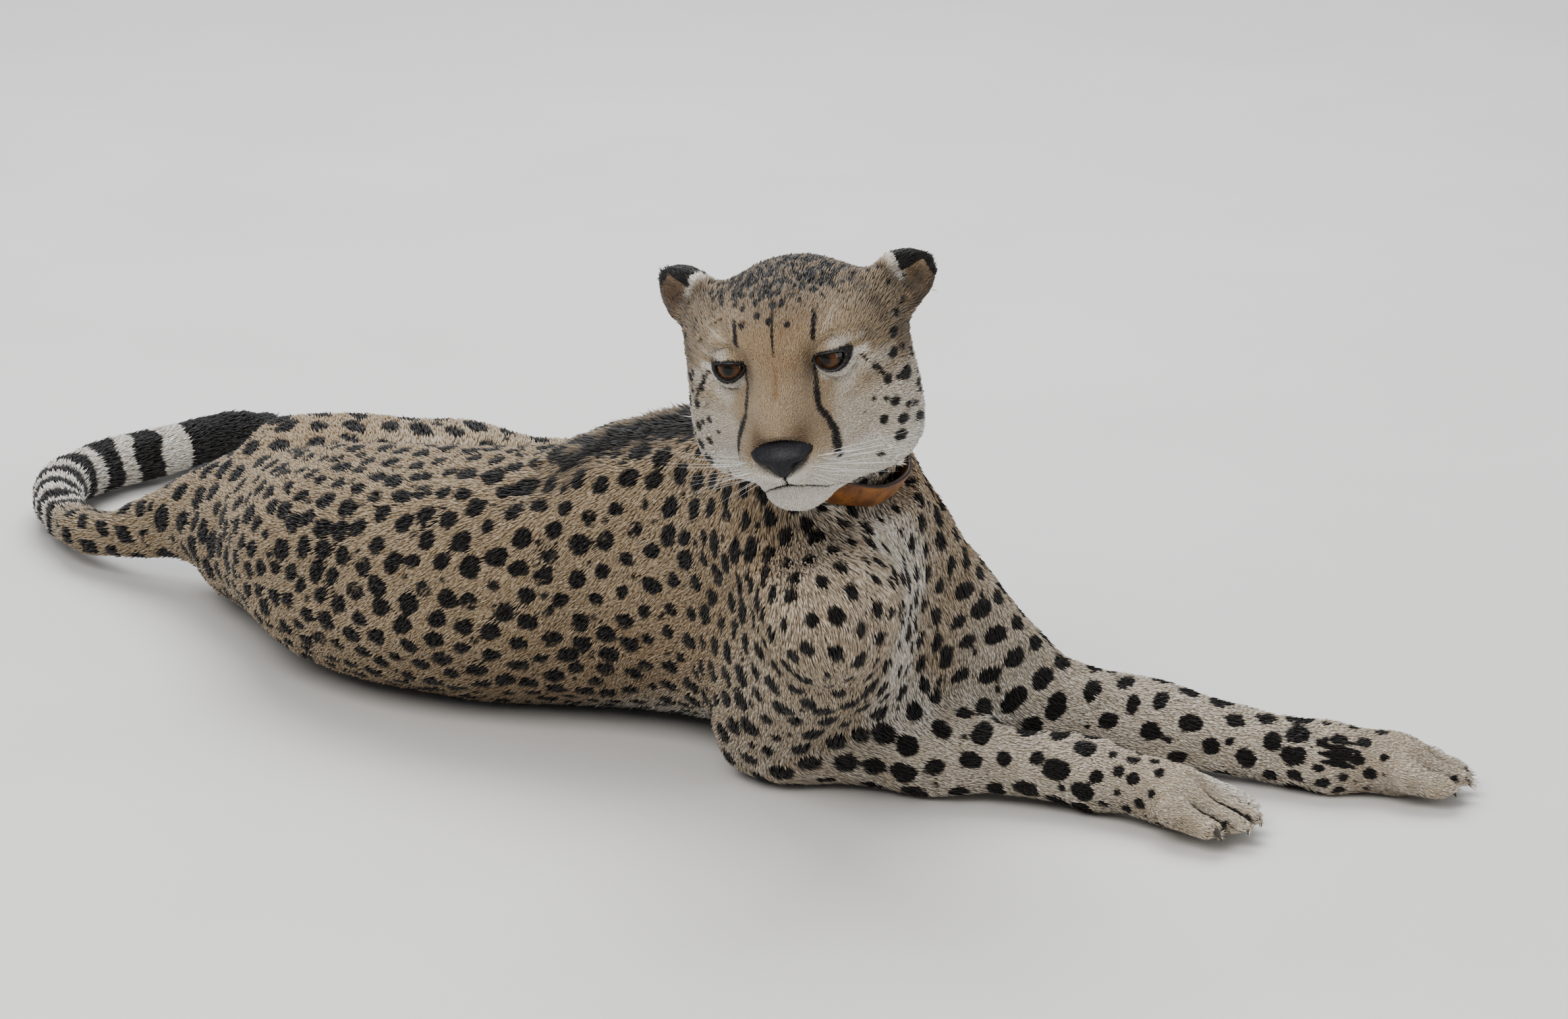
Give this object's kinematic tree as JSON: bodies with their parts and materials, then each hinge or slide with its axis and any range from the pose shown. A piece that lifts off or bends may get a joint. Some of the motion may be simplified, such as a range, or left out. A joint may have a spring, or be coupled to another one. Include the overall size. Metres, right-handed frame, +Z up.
{
  "type": "lying cheetah model",
  "caption": "Life-size museum model of a cheetah lying on its side hip with forelegs stretched out, head turned to look over the right shoulder, wearing a plain leather band.",
  "frame": {"origin": "middle of the underside of the box around the animal, on the floor", "axes": "+X forward along the trunk, +Y to the animal's left, +Z up"},
  "size_m": [1.3476, 0.6482, 0.4435],
  "materials": {
    "coat": "short tawny fur with black spots",
    "pale_coat": "soft off-white fur",
    "dark_coat": "black and white banded fur",
    "eye": "wet amber brown",
    "nose": "damp black skin",
    "collar": "worn brown leather"
  },
  "bodies": {
    "root": {"ear_left": "coat", "ear_right": "coat", "lower_jaw": "pale_coat", "head": "coat", "forepaw_right": "coat", "hind_foot_right": "coat", "forearm_right": "coat", "shank_right": "coat", "forepaw_left": "coat", "hind_foot_left": "coat", "forearm_left": "coat", "shank_left": "coat", "upper_arm_right": "coat", "upper_arm_left": "coat", "neck": "coat", "thigh_left": "coat", "thigh_right": "coat", "tail_tip": "dark_coat", "tail_middle": "coat", "tail_base": "coat", "rump": "coat", "belly": "coat", "chest": "coat", "eye_left": "eye", "eye_right": "eye", "nose": "nose", "collar": "collar"}
  },
  "joints": []
}
